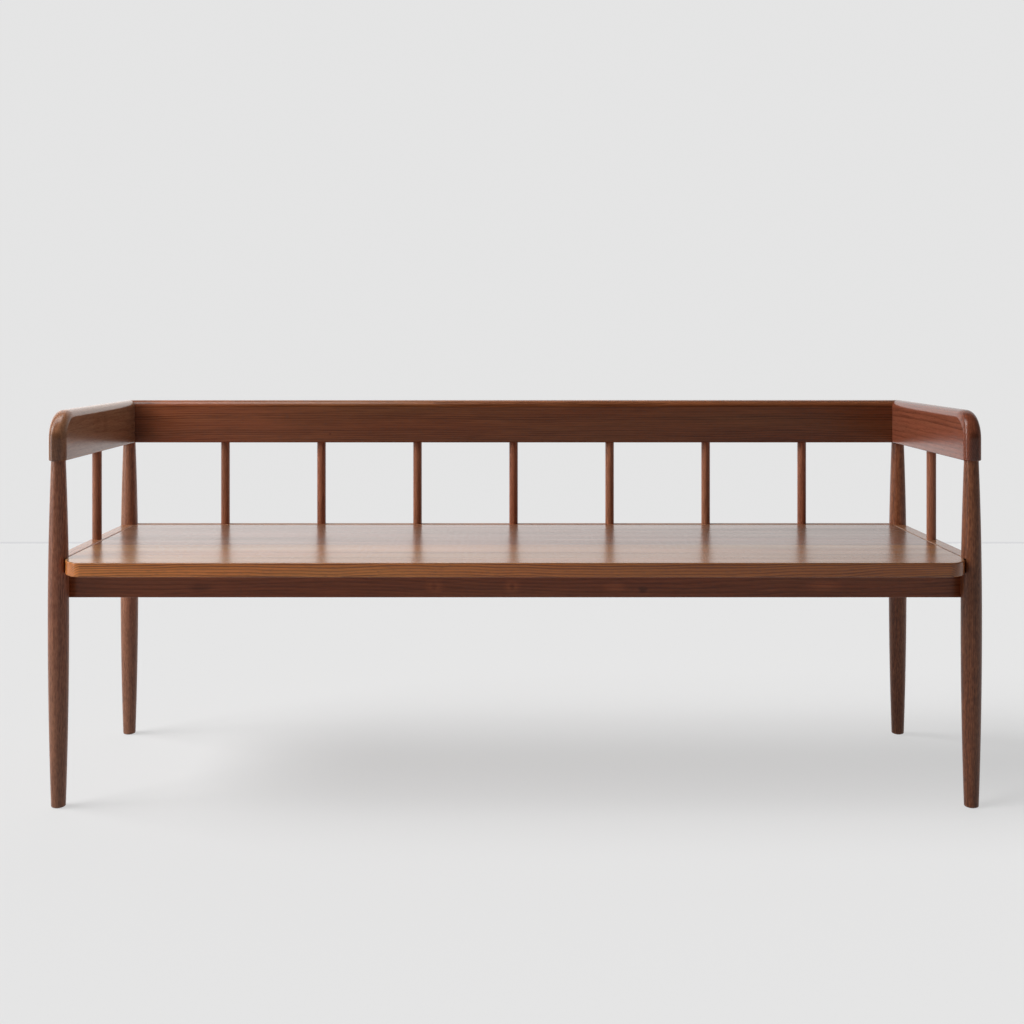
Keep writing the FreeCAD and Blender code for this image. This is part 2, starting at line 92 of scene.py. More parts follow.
LEG_LOW, LEG_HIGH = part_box("rear_left_leg")
ARM_LOW, ARM_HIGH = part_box("left_arm")
RIGHT_ARM_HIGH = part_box("right_arm")[1]
SPINDLE_LOW, SPINDLE_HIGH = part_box("back_spindle_1")
SEAT_LOW, SEAT_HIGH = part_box("seat_board")
SIDE_RAIL_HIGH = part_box("left_seat_rail")[1]

FOOT_STEPS = 5
LOWER_STEPS = 20
UPPER_STEPS = 18
NOTCH_REACH = 0.05
NOTCH_PLAY = 0.0001

LEGS = ("front_left_leg", "front_right_leg", "rear_left_leg", "rear_right_leg")
SPINDLES = sorted(node for node in frame["nodes"] if "spindle" in node)
ARM_UNDERSIDE = ARM_LOW.z
SEAT_TOP = SEAT_HIGH.z
LEG_X = centre_of("rear_right_leg").x
FRONT_LEG_Y = centre_of("front_left_leg").y
REAR_LEG_Y = centre_of("rear_left_leg").y
STAVE_JOINT = -0.048
STAVE_JOINT_HALF = 0.0006

# The arm noses are darker partly by their end grain and partly by painted shade.
NOSE_GRAIN_AND_SHADE = 0.55
END_GRAIN_START = 0.0002
END_GRAIN_END = 0.0028
# Painted shadow of the left arm on the back rail's left end: how much darker, and where it fades out.
ARM_SHADOW_SHADE = 0.6
ARM_SHADOW_X = (-0.785, -0.725)
# Where the back rail turns from reddish to browner: partly the wood's tone, partly painted falloff of
# the lamp light from the left.
REDDISH_AND_FALLOFF_X = (-0.78, -0.25)
# Painted light from above along the back rail's top: where it fades along the rail and up the
# round-over.
LIT_TOP_X = (-0.65, -0.15)
LIT_TOP_Z = (0.687, 0.696)

STAGE_REACH = 14.0
STAGE_HEIGHT = 5.0
SEAM_Z = (0.003, 0.009)
LAMP_AIM = Vector((0.0, 0.0, 0.45))
SUN_ANGLE = math.radians(29)
SENSOR_WIDTH = 36.0
CAMERA_SHIFT = (0.0055, -0.1639)


class LegSizes(PropertyGroup):
    """Sizes of the turned legs."""

    belly_diameter: FloatProperty(
        name="Belly Diameter", description="Thickest part of a leg",
        default=LEG_HIGH.x - LEG_LOW.x, min=0.005, unit="LENGTH")
    belly_height: FloatProperty(
        name="Belly Height", description="Height of the thickest part above the floor",
        default=0.330, min=0.01, unit="LENGTH")
    foot_diameter: FloatProperty(
        name="Foot Diameter", description="Diameter of a leg at the floor",
        default=0.025, min=0.005, unit="LENGTH")
    top_diameter: FloatProperty(
        name="Top Diameter", description="Diameter of a leg under the arm",
        default=0.025, min=0.005, unit="LENGTH")
    foot_edge: FloatProperty(
        name="Foot Edge", description="Radius of the rounded edge at the floor",
        default=0.002, min=0.0, unit="LENGTH")
    tenon_diameter: FloatProperty(
        name="Tenon Diameter", description="Round tenon that goes up into the arm",
        default=0.016, min=0.002, unit="LENGTH")
    segments: IntProperty(
        name="Segments", description="Sides of the turned shape", default=72, min=8)


class SpindleSizes(PropertyGroup):
    """Sizes of the spindles."""

    diameter: FloatProperty(
        name="Diameter", description="Diameter of a spindle",
        default=SPINDLE_HIGH.x - SPINDLE_LOW.x, min=0.002, unit="LENGTH")
    tenon_diameter: FloatProperty(
        name="Tenon Diameter", description="Round tenon at each end of a spindle",
        default=0.012, min=0.002, unit="LENGTH")
    segments: IntProperty(
        name="Segments", description="Sides of the turned shape", default=48, min=8)


class RailSizes(PropertyGroup):
    """Sizes of the arms and the back rail."""

    thickness: FloatProperty(
        name="Thickness", description="Thickness of the arms and the back rail",
        default=0.032, min=0.005, unit="LENGTH")
    nose_radius: FloatProperty(
        name="Nose Radius", description="Front top corner of an arm, seen from the side",
        default=0.050, min=0.001, unit="LENGTH")
    round_over: FloatProperty(
        name="Round Over", description="Radius along the top, down the nose and round the rear corners",
        default=0.014, min=0.0005, unit="LENGTH")
    lower_edge: FloatProperty(
        name="Lower Edge", description="Radius of the bottom edges",
        default=0.002, min=0.0002, unit="LENGTH")
    round_steps: IntProperty(
        name="Round Steps", description="Facets across each round-over", default=12, min=2)


class SeatSizes(PropertyGroup):
    """Sizes of the seat board."""

    corner_width: FloatProperty(
        name="Corner Width", description="Soft front corner, measured along the front edge",
        default=0.043, min=0.001, unit="LENGTH")
    corner_depth: FloatProperty(
        name="Corner Depth", description="Soft front corner, measured along the side",
        default=0.068, min=0.001, unit="LENGTH")
    edge: FloatProperty(
        name="Edge", description="Radius of the upper and lower edges",
        default=0.002, min=0.0002, unit="LENGTH")


class FrameSizes(PropertyGroup):
    """Sizes of the rails that carry the seat."""

    edge: FloatProperty(
        name="Edge", description="Radius of the eased long edges",
        default=0.0015, min=0.0001, unit="LENGTH")
    shoulder: FloatProperty(
        name="Shoulder", description="Leg centre to the shoulder of a rail",
        default=0.0115, min=0.0, unit="LENGTH")


def colour_property(name, description, default):
    return FloatVectorProperty(
        name=name, description=description, default=default,
        subtype="COLOR", size=3, min=0.0, max=1.0)


class WalnutColours(PropertyGroup):
    """Mean colour of the wood of each piece."""

    # The back rail's two colours are partly the wood's tone and partly painted falloff of the lamp light
    # from the left.
    back_left_reddish_lit: colour_property(
        "Back Rail, Left", "Reddish wood at the back rail's left end", (0.300, 0.092, 0.040))
    back_right_shaded: colour_property(
        "Back Rail, Right", "Darker wood of the rest of the back rail", (0.183, 0.056, 0.020))
    # Painted light: the top of the back rail is given a lighter colour for light falling on it from
    # above.
    back_top_lit: colour_property(
        "Back Rail, Top", "Sun-bleached wood along the top of the back rail", (0.330, 0.120, 0.052))
    left_arm: colour_property("Left Arm", "Olive brown wood of the left arm", (0.335, 0.160, 0.086))
    right_arm: colour_property("Right Arm", "Reddish wood of the right arm", (0.278, 0.084, 0.045))
    seat_rear: colour_property(
        "Seat, Rear Stave", "Greyer wood of the rear half of the seat", (0.272, 0.134, 0.084))
    seat_front: colour_property(
        "Seat, Front Stave", "Yellower wood of the front half of the seat", (0.405, 0.192, 0.084))
    # The seat edge's two colours are golden wood with painted lamp light, strong at the left and falling
    # off to the right.
    edge_left_lit: colour_property(
        "Seat Edge, Left", "Golden wood of the edge and the underside", (0.670, 0.218, 0.050))
    edge_right_shaded: colour_property(
        "Seat Edge, Right", "Browner wood towards the right end", (0.390, 0.122, 0.026))
    left_legs: colour_property("Left Legs", "Wood of the legs on the left", (0.380, 0.158, 0.092))
    right_legs: colour_property("Right Legs", "Wood of the legs on the right", (0.315, 0.118, 0.054))
    spindles: colour_property("Spindles", "Orange brown wood of the spindles", (0.430, 0.160, 0.086))
    side_rails: colour_property(
        "Side Rails", "Light wood of the rails beside the seat", (0.400, 0.180, 0.092))
    frame: colour_property(
        "Frame", "Dark red wood of the apron and the rails under the seat", (0.325, 0.101, 0.040))


class StudioSettings(PropertyGroup):
    """Camera, lamps and backdrop."""

    camera_place: FloatVectorProperty(
        name="Camera Place", description="Where the camera stands",
        default=(-0.0151, -2.4804, 0.8175), subtype="TRANSLATION", unit="LENGTH")
    lens: FloatProperty(name="Lens", description="Focal length", default=45.42, min=1.0, unit="CAMERA")
    wall_place: FloatProperty(
        name="Wall Place", description="How far the backdrop stands behind the middle of the bench",
        default=2.82, min=0.5, unit="LENGTH")
    backdrop: colour_property(
        "Backdrop", "Pale grey of the floor and the backdrop", (0.781, 0.781, 0.781))
    seam: colour_property("Seam", "Thin line where the backdrop meets the floor", (0.68, 0.68, 0.695))
    floor_glow: FloatProperty(
        name="Floor Glow", description="Share of the floor's brightness that no shadow darkens",
        default=0.709, min=0.0, max=1.0, subtype="FACTOR")
    floor_bounce: FloatProperty(
        name="Floor Bounce", description="Share of the floor's light that is thrown back onto the bench",
        default=0.25, min=0.0, max=1.0, subtype="FACTOR")
    wall_shine: FloatProperty(
        name="Wall Shine", description="Brightness of the backdrop in reflections, at the middle",
        default=1.16, min=0.0)
    wall_slope: FloatProperty(
        name="Wall Slope", description="How much the reflected backdrop gains in a metre to the left",
        default=0.132, min=0.0)
    window_power: FloatProperty(
        name="Window Power", description="Power of the large soft lamp on the left",
        default=42.0, min=0.0, unit="POWER")
    side_power: FloatProperty(
        name="Side Power", description="Power of the weaker soft lamp, low on the left",
        default=24.0, min=0.0, unit="POWER")
    ceiling_power: FloatProperty(
        name="Ceiling Power", description="Power of the soft lamp overhead",
        default=20.0, min=0.0, unit="POWER")
    floor_sun: FloatProperty(
        name="Floor Sun", description="Strength of the even lamp that lights the floor alone",
        default=3.76, min=0.0)
    room_right: FloatProperty(
        name="Room, Right", description="Light from the right of the room", default=0.21, min=0.0)
    room_back: FloatProperty(
        name="Room, Back", description="Light from the backdrop", default=1.1, min=0.0)


# Shader nodes

def add(tree, kind, inputs=None, **options):
    """Adds a shader node, sets its options, and sets or links its inputs by name or number."""
    made = tree.nodes.new(kind)
    for name, value in options.items():
        setattr(made, name, value)
    for key, value in (inputs or {}).items():
        if isinstance(value, bpy.types.NodeSocket):
            tree.links.new(value, made.inputs[key])
        else:
            made.inputs[key].default_value = value
    return made


def calculate(tree, operation, first, second=0.0, third=0.0, clamp=False):
    """Number worked out from one, two or three numbers."""
    inputs = {0: first, 1: second, 2: third}
    return add(tree, "ShaderNodeMath", inputs, operation=operation, use_clamp=clamp).outputs[0]


def combine(tree, operation, first, second):
    """Vector worked out from two vectors."""
    made = add(tree, "ShaderNodeVectorMath", {0: first, 1: second}, operation=operation)
    return made.outputs["Vector"]


def noise(tree, vector, scale, detail=2.0, roughness=0.5):
    """Noise whose three scales are the grain's own: along it, and twice across it."""
    stretched = combine(tree, "MULTIPLY", vector, scale)
    inputs = {"Vector": stretched, "Scale": 1.0, "Detail": detail, "Roughness": roughness}
    return add(tree, "ShaderNodeTexNoise", inputs, noise_dimensions="3D")


def remap(tree, value, low, high, out_low=0.0, out_high=1.0):
    """Number moved from one range to another, and kept inside it."""
    inputs = {
        "Value": value, "From Min": low, "From Max": high, "To Min": out_low, "To Max": out_high}
    made = add(tree, "ShaderNodeMapRange", inputs, clamp=True, interpolation_type="SMOOTHSTEP")
    return made.outputs[0]


def mix_colours(tree, share, first, second, blend="MIX"):
    """Colour between two colours."""
    made = add(tree, "ShaderNodeMix", data_type="RGBA", blend_type=blend)
    for socket, value in ((made.inputs[0], share), (made.inputs[6], first), (made.inputs[7], second)):
        if isinstance(value, bpy.types.NodeSocket):
            tree.links.new(value, socket)
        elif isinstance(value, (int, float)):
            socket.default_value = value
        else:
            socket.default_value = (*value, 1.0)
    return made.outputs[2]


def new_material(name):
    """Empty material with its Principled shader; returns the material, its tree and the shader."""
    material = bpy.data.materials.new(name)
    material.use_nodes = True
    tree = material.node_tree
    tree.nodes.clear()
    shader = add(tree, "ShaderNodeBsdfPrincipled")
    add(tree, "ShaderNodeOutputMaterial", {"Surface": shader.outputs[0]})
    return material, tree, shader


GRAIN_TURN = {
    "x": (0.0, 0.0, 0.0),
    "y": (0.0, 0.0, -math.pi / 2),
    "z": (0.0, math.pi / 2, 0.0),
}
PALE_WOOD = (1.46, 1.46, 1.44)
DARK_WOOD = (0.50, 0.44, 0.40)
COOL_WOOD = (0.95, 1.03, 1.05)
WARM_WOOD = (1.05, 0.96, 0.92)
PORE_COLOUR = (0.030, 0.012, 0.006)
PORE_SHARE = 0.55

DRIFT_SCALE = (1.3, 5.0, 5.0)
HUE_SCALE = (1.7, 16.0, 16.0)
FIBRE_SCALE = (9.0, 240.0, 240.0)
HAIR_SCALE = (36.0, 900.0, 900.0)
PORE_SCALE = (75.0, 2400.0, 2400.0)
SPECK_SCALE = (110.0, 420.0, 420.0)
FIBRE_SHARE = 1.15
HAIR_SHARE = 0.65
TONE_SHARE = 0.95
LATE_END = 0.90
PORE_DEPTH = 0.00025


def spot(tree, place, centre, size):
    """Soft oval that is 1 at its centre and 0 from its rim on."""
    away = combine(tree, "SUBTRACT", place, centre)
    away = combine(tree, "DIVIDE", away, size)
    distance = add(tree, "ShaderNodeVectorMath", {0: away}, operation="LENGTH").outputs["Value"]
    return remap(tree, distance, 0.15, 1.0, 1.0, 0.0)


def walnut(name, grain, pith, mean, pitch=0.0034, lines=0.55, streaks=0.9, flecks=0.0, satin=0.26,
           tone_scale=(0.9, 8.0, 8.0), wander=0.05, relief=0.10, ior=1.42, spots=(), grain_share=1.0,
           late_start=0.25):
    """Lacquered walnut: growth rings about a pith off the piece, fibres, pores, slow tone and knots.

    mean is the wood's mean colour and grain_share how plainly its fine grain shows; each is a value,
    or makes one from the material's tree and the place on the piece. pitch is the width of a growth
    ring, lines, streaks and flecks are the contrast of rings, fibres and specks, satin is the
    roughness of the lacquer, wander bends the rings, and spots are (centre, size, darkness) of knots.
    """
    material, tree, shader = new_material(name)
    place = add(tree, "ShaderNodeTexCoord").outputs["Object"]
    if callable(mean):
        mean = mean(tree, place)
    if callable(grain_share):
        grain_share = grain_share(tree, place)
    turned = {"Vector": place, "Location": pith, "Rotation": GRAIN_TURN[grain]}
    log = add(tree, "ShaderNodeMapping", turned, vector_type="POINT").outputs[0]

    drift = noise(tree, log, DRIFT_SCALE, detail=3.0).outputs["Color"]
    drift = combine(tree, "SUBTRACT", drift, (0.5, 0.5, 0.5))
    drift = combine(tree, "MULTIPLY", drift, (0.0, wander, wander))
    wandering = combine(tree, "ADD", log, drift)
    across = combine(tree, "MULTIPLY", wandering, (0.0, 1.0, 1.0))
    radius = add(tree, "ShaderNodeVectorMath", {0: across}, operation="LENGTH").outputs["Value"]

    ring_count = calculate(tree, "MULTIPLY", radius, 1.0 / pitch)
    ring = calculate(tree, "FLOOR", ring_count)
    part = calculate(tree, "SUBTRACT", ring_count, ring)
    luck = add(tree, "ShaderNodeTexWhiteNoise", {"W": ring}, noise_dimensions="1D").outputs["Value"]
    rise = remap(tree, part, late_start, LATE_END)
    fall = remap(tree, part, LATE_END, 1.0, 1.0, 0.0)
    late = calculate(tree, "MULTIPLY", rise, fall)
    late = calculate(tree, "MULTIPLY", late, calculate(tree, "MULTIPLY_ADD", luck, 0.9, 0.25))

    fibres = noise(tree, log, FIBRE_SCALE, detail=3.0, roughness=0.6).outputs["Fac"]
    hairs = noise(tree, log, HAIR_SCALE).outputs["Fac"]
    specks = noise(tree, log, SPECK_SCALE, detail=1.0).outputs["Fac"]
    pores = remap(tree, noise(tree, log, PORE_SCALE, detail=1.0).outputs["Fac"], 0.60, 0.72)
    tone = noise(tree, log, tone_scale, detail=3.0, roughness=0.55).outputs["Fac"]
    hue = noise(tree, wandering, HUE_SCALE).outputs["Fac"]

    mean_late = 0.30 * (1.25 - late_start)
    depth = calculate(tree, "MULTIPLY_ADD", late, lines, -mean_late * lines)
    layers = ((fibres, FIBRE_SHARE * streaks), (hairs, HAIR_SHARE * streaks), (specks, flecks))
    for layer, share in layers:
        lifted = calculate(tree, "SUBTRACT", layer, 0.5)
        depth = calculate(tree, "MULTIPLY_ADD", lifted, share, depth)
    depth = calculate(tree, "MULTIPLY_ADD", depth, grain_share, 0.5)
    lifted = calculate(tree, "SUBTRACT", tone, 0.5)
    depth = calculate(tree, "MULTIPLY_ADD", lifted, TONE_SHARE, depth)
    for centre, size, darkness in spots:
        depth = calculate(tree, "MULTIPLY_ADD", spot(tree, place, centre, size), darkness, depth)
    depth = calculate(tree, "ADD", depth, 0.0, clamp=True)
    wood = mix_colours(tree, depth, PALE_WOOD, DARK_WOOD)
    wood = mix_colours(tree, 1.0, wood, mean, blend="MULTIPLY")
    warmth = mix_colours(tree, remap(tree, hue, 0.3, 0.7), COOL_WOOD, WARM_WOOD)
    wood = mix_colours(tree, 1.0, wood, warmth, blend="MULTIPLY")
    wood = mix_colours(tree, calculate(tree, "MULTIPLY", pores, PORE_SHARE), wood, PORE_COLOUR)
    tree.links.new(wood, shader.inputs["Base Color"])

    gloss = remap(tree, tone, 0.3, 0.7, satin - 0.02, satin + 0.02)
    gloss = calculate(tree, "MULTIPLY_ADD", pores, 0.06, gloss)
    tree.links.new(gloss, shader.inputs["Roughness"])
    shader.inputs["IOR"].default_value = ior

    height = calculate(tree, "SUBTRACT", calculate(tree, "MULTIPLY", fibres, 0.35), pores)
    bump = add(tree, "ShaderNodeBump", {"Height": height, "Strength": relief, "Distance": PORE_DEPTH})
    tree.links.new(bump.outputs[0], shader.inputs["Normal"])
    return material


# Mesh pieces

def finish_piece(name, bm, material, replaced):
    """Makes an object of a mesh that stands in place, shades it smooth and sets it on the frame."""
    bmesh.ops.remove_doubles(bm, verts=bm.verts, dist=TINY / 10)
    bmesh.ops.recalc_face_normals(bm, faces=bm.faces)
    mesh = bpy.data.meshes.new(name)
    bm.to_mesh(mesh)
    bm.free()
    mesh.shade_smooth()
    mesh.set_sharp_from_angle(angle=SHARP_ANGLE)
    mesh.materials.append(material)
    piece = bpy.data.objects.new(name, mesh)
    bpy.context.scene.collection.objects.link(piece)
    even = piece.modifiers.new("Flat faces stay flat", "WEIGHTED_NORMAL")
    even.keep_sharp = True
    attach(piece, BODY)
    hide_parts(*replaced)
    return piece


def line_to(bm, vert, x, z):
    """Carries an outline on from vert in a straight line, and returns its new end."""
    end = bmesh.ops.extrude_vert_indiv(bm, verts=[vert])["verts"][0]
    end.co = Vector((x, 0, z))
    return end


def arc_to(bm, vert, centre_x, centre_z, x, z, steps):
    """Carries an outline on from vert round a centre, and returns its new end."""
    centre = Vector((centre_x, 0, centre_z))
    start_arm = vert.co - centre
    end_arm = Vector((x, 0, z)) - centre
    swept = bmesh.ops.spin(
        bm, geom=[vert], cent=centre, axis=start_arm.cross(end_arm).normalized(),
        angle=start_arm.angle(end_arm), steps=steps)
    return next(part for part in swept["geom_last"] if isinstance(part, bmesh.types.BMVert))


def turn(bm, segments):
    """Turns an outline in the XZ plane about the Z axis, and closes it at the poles."""
    bmesh.ops.spin(
        bm, geom=bm.verts[:] + bm.edges[:], cent=(0, 0, 0), axis=UP,
        angle=2 * math.pi, steps=segments, use_merge=True)
    bmesh.ops.remove_doubles(bm, verts=bm.verts, dist=TINY)


def arc_radius(height, drop):
    """Radius of the arc that runs upright at one end and is set in by drop at the other."""
    return (height ** 2 + drop ** 2) / (2 * drop)


def turned_leg(sizes):
    """Leg on the Z axis: a rounded foot, two long arcs that meet at the belly, and a round tenon."""
    belly = sizes.belly_diameter / 2
    foot = sizes.foot_diameter / 2
    top = sizes.top_diameter / 2
    tenon = sizes.tenon_diameter / 2
    base = LEG_LOW.z
    edge_top = base + sizes.foot_edge
    height = sizes.belly_height
    lower_radius = arc_radius(height - edge_top, belly - foot)
    upper_radius = arc_radius(ARM_UNDERSIDE - height, belly - top)
    bm = bmesh.new()
    end = bm.verts.new((0, 0, base))
    end = line_to(bm, end, foot - sizes.foot_edge, base)
    end = arc_to(bm, end, foot - sizes.foot_edge, edge_top, foot, edge_top, FOOT_STEPS)
    end = arc_to(bm, end, belly - lower_radius, height, belly, height, LOWER_STEPS)
    end = arc_to(bm, end, belly - upper_radius, height, top, ARM_UNDERSIDE, UPPER_STEPS)
    end = line_to(bm, end, tenon, ARM_UNDERSIDE)
    end = line_to(bm, end, tenon, LEG_HIGH.z)
    line_to(bm, end, 0, LEG_HIGH.z)
    turn(bm, sizes.segments)
    return bm


def cut_box(piece, low, high):
    """Cuts a box out of a piece."""
    bm = bmesh.new()
    bmesh.ops.create_cube(bm, size=1.0)
    bmesh.ops.scale(bm, vec=high - low, verts=bm.verts)
    bmesh.ops.translate(bm, vec=(low + high) / 2, verts=bm.verts)
    mesh = bpy.data.meshes.new("cutter")
    bm.to_mesh(mesh)
    bm.free()
    cutter = bpy.data.objects.new("cutter", mesh)
    bpy.context.scene.collection.objects.link(cutter)
    cut = piece.modifiers.new("Cut", "BOOLEAN")
    cut.object = cutter
    cut.operation = "DIFFERENCE"
    cut.solver = "EXACT"
    piece.modifiers.move(len(piece.modifiers) - 1, 0)
    even = piece.modifiers["Flat faces stay flat"]
    even.show_viewport = False
    bpy.context.view_layer.update()
    depsgraph = bpy.context.evaluated_depsgraph_get()
    piece.data = bpy.data.meshes.new_from_object(piece.evaluated_get(depsgraph))
    piece.data.shade_smooth()
    piece.data.set_sharp_from_angle(angle=SHARP_ANGLE)
    piece.modifiers.remove(cut)
    even.show_viewport = True
    bpy.data.objects.remove(cutter)


class BENCH_OT_turn_legs(Operator):
    """Turn the four legs, and notch the front ones where the seat board passes"""

    bl_idname = "bench.turn_legs"
    bl_label = "Turn Legs"

    def execute(self, context):
        sizes = context.scene.bench_legs
        colours = context.scene.bench_walnut
        left_wood = walnut("left_leg_walnut", "z", (0.0, 0.43, 0.19), colours.left_legs, pitch=0.0024,
                           lines=0.30, flecks=1.0, satin=0.34)
        right_wood = walnut("right_leg_walnut", "z", (0.0, 0.51, 0.07), colours.right_legs, pitch=0.0023,
                            lines=0.32, flecks=1.2, satin=0.34)
        for node in LEGS:
            centre = centre_of(node)
            material = left_wood if centre.x < 0 else right_wood
            bm = turned_leg(sizes)
            bmesh.ops.translate(bm, vec=(centre.x, centre.y, 0), verts=bm.verts)
            leg = finish_piece(node + "_turned", bm, material, (node,))
            if node.startswith("front"):
                self.notch(leg, math.copysign(1, centre.x))
        return {"FINISHED"}

    def notch(self, leg, side):
        """Cuts the flat that lets the seat board pass, level with the side rail's inner face."""
        inside = SIDE_RAIL_HIGH.x * -side
        reach = inside - side * NOTCH_REACH
        low = Vector((min(inside, reach), FRONT_LEG_Y - NOTCH_REACH, SEAT_LOW.z - NOTCH_PLAY))
        high = Vector((max(inside, reach), FRONT_LEG_Y + NOTCH_REACH, SEAT_TOP + NOTCH_PLAY))
        cut_box(leg, low, high)


class BENCH_OT_turn_spindles(Operator):
    """Turn the spindles of the back and the sides"""

    bl_idname = "bench.turn_spindles"
    bl_label = "Turn Spindles"

    def execute(self, context):
        sizes = context.scene.bench_spindles
        material = walnut(
            "spindle_walnut", "z", (0.0, 0.37, 0.11), context.scene.bench_walnut.spindles, pitch=0.0026,
            lines=0.3, satin=0.38, ior=1.36)
        body = sizes.diameter / 2
        tenon = sizes.tenon_diameter / 2
        for node in SPINDLES:
            low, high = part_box(node)
            centre = (low + high) / 2
            bm = bmesh.new()
            end = bm.verts.new((0, 0, low.z))
            end = line_to(bm, end, tenon, low.z)
            end = line_to(bm, end, tenon, SEAT_TOP)
            end = line_to(bm, end, body, SEAT_TOP)
            end = line_to(bm, end, body, ARM_UNDERSIDE)
            end = line_to(bm, end, tenon, ARM_UNDERSIDE)
            end = line_to(bm, end, tenon, high.z)
            line_to(bm, end, 0, high.z)
            turn(bm, sizes.segments)
            bmesh.ops.translate(bm, vec=(centre.x, centre.y, 0), verts=bm.verts)
            finish_piece(node + "_turned", bm, material, (node,))
        return {"FINISHED"}


def is_upright(edge):
    start, end = edge.verts
    return (start.co.xy - end.co.xy).length < TINY


def lies_at(edge, axis, value):
    return all(abs(vert.co[axis] - value) < TINY for vert in edge.verts)


def round_edges(bm, edges, radius, steps):
    """Rounds edges over with one radius."""
    bmesh.ops.bevel(
        bm, geom=edges, offset=radius, offset_type="OFFSET", segments=steps, profile=0.5,
        affect="EDGES", clamp_overlap=False, material=-1, loop_slide=True)


class BENCH_OT_shape_rails(Operator):
    """Shape the arms and the back rail from one blank, rounded over and parted at the mitres"""

    bl_idname = "bench.shape_rails"
    bl_label = "Shape Arms and Back Rail"

    def execute(self, context):
        sizes = context.scene.bench_rails
        colours = context.scene.bench_walnut
        blank = self.blank(sizes)
        left_walnut = walnut(
            "left_arm_walnut", "y", (0.35, 0.22, -0.82), self.arm_colours(colours.left_arm),
            pitch=0.0040, lines=0.25, satin=0.21, spots=self.arm_knot())
        right_walnut = walnut(
            "right_arm_walnut", "y", (0.35, 0.22, -0.82), self.arm_colours(colours.right_arm),
            pitch=0.0030, lines=0.40, satin=0.21, wander=0.010)
        back_walnut = walnut(
            "back_rail_walnut", "x", (0.0, 0.16, -0.95), self.back_colours, pitch=0.0030, lines=0.45,
            wander=0.02, spots=[((-0.3834, 0.218, 0.630), (0.004, 0.02, 0.003), 0.45)])
        corner = Vector((LEG_X, REAR_LEG_Y, 0))
        left = (corner * Vector((-1, 1, 1)), Vector((1, 1, 0)).normalized())
        right = (corner, Vector((-1, 1, 0)).normalized())
        for node, planes, material in (
                ("left_arm", [left], left_walnut),
                ("right_arm", [right], right_walnut),
                ("back_rail", [(left[0], -left[1]), (right[0], -right[1])], back_walnut)):
            bm = blank.copy()
            for place, outwards in planes:
                part_at_mitre(bm, place, outwards)
            finish_piece(node + "_shaped", bm, material, (node,))
        blank.free()
        return {"FINISHED"}

    def arm_colours(self, colour):
        """Wood of an arm, darker at its nose: partly its end grain, partly painted shade."""
        nose = ARM_LOW.y

        def by_place(tree, place):
            depth = add(tree, "ShaderNodeSeparateXYZ", {0: place}).outputs[1]
            # Painted shade mixed with the darker end grain at the nose.
            grain_and_shade = tuple(value * NOSE_GRAIN_AND_SHADE for value in colour)
            along = remap(tree, depth, nose + END_GRAIN_START, nose + END_GRAIN_END)
            return mix_colours(tree, along, grain_and_shade, colour)
        return by_place

    def back_colours(self, tree, place):
        """Painted shadow of the left arm at the left end, reddish beside it, browner from there on
        partly by the wood's tone and partly by painted falloff of the lamp light, and painted light from
        above along the top.
        """
        colours = bpy.context.scene.bench_walnut
        sides = add(tree, "ShaderNodeSeparateXYZ", {0: place}).outputs
        # Browner to the right: partly the wood's tone, partly painted falloff of the lamp light.
        browner = remap(tree, sides[0], *REDDISH_AND_FALLOFF_X)
        face = mix_colours(tree, browner, colours.back_left_reddish_lit, colours.back_right_shaded)
        # Painted shadow of the left arm, darkest at the rail's left end.
        arm_shadow = tuple(value * ARM_SHADOW_SHADE for value in colours.back_left_reddish_lit)
        face = mix_colours(tree, remap(tree, sides[0], *ARM_SHADOW_X), arm_shadow, face)
        # Painted light from above on the rail's top, weaker towards the left end.
        high = remap(tree, sides[2], *LIT_TOP_Z)
        top = calculate(tree, "MULTIPLY", high, remap(tree, sides[0], *LIT_TOP_X, 0.3, 1.0))
        return mix_colours(tree, top, face, colours.back_top_lit)

    def arm_knot(self):
        """Faint swirl on the inner face of the left arm."""
        inside = ARM_LOW.x + 0.032
        return [
            ((inside, -0.030, 0.662), (0.02, 0.030, 0.020), 0.14),
            ((inside, 0.020, 0.662), (0.02, 0.020, 0.024), 0.16)]

    def blank(self, sizes):
        """The three-sided blank, with rounded nose, top, rear corners and bottom edges."""
        outside = RIGHT_ARM_HIGH.x
        inside = outside - sizes.thickness
        rear = REAR_LEG_Y + sizes.thickness / 2
        front = FRONT_LEG_Y - sizes.thickness / 2
        bm = bmesh.new()
        bmesh.ops.create_grid(bm, x_segments=3, y_segments=2, size=1.0)
        columns = (-outside, -inside, inside, outside)
        rows = (front, rear - sizes.thickness, rear)
        for vert in bm.verts:
            column = round((vert.co.x + 1) * 1.5)
            row = round(vert.co.y + 1)
            vert.co = Vector((columns[column], rows[row], ARM_UNDERSIDE))
        opening = min(bm.faces, key=lambda face: face.calc_center_median().xy.length)
        bmesh.ops.delete(bm, geom=[opening], context="FACES")
        top = bmesh.ops.extrude_face_region(bm, geom=bm.faces[:])["geom"]
        raised = [part for part in top if isinstance(part, bmesh.types.BMVert)]
        bmesh.ops.translate(bm, vec=UP * (ARM_HIGH.z - ARM_UNDERSIDE), verts=raised)
        bmesh.ops.recalc_face_normals(bm, faces=bm.faces)
        bmesh.ops.dissolve_limit(
            bm, angle_limit=math.radians(1), verts=bm.verts, edges=bm.edges)

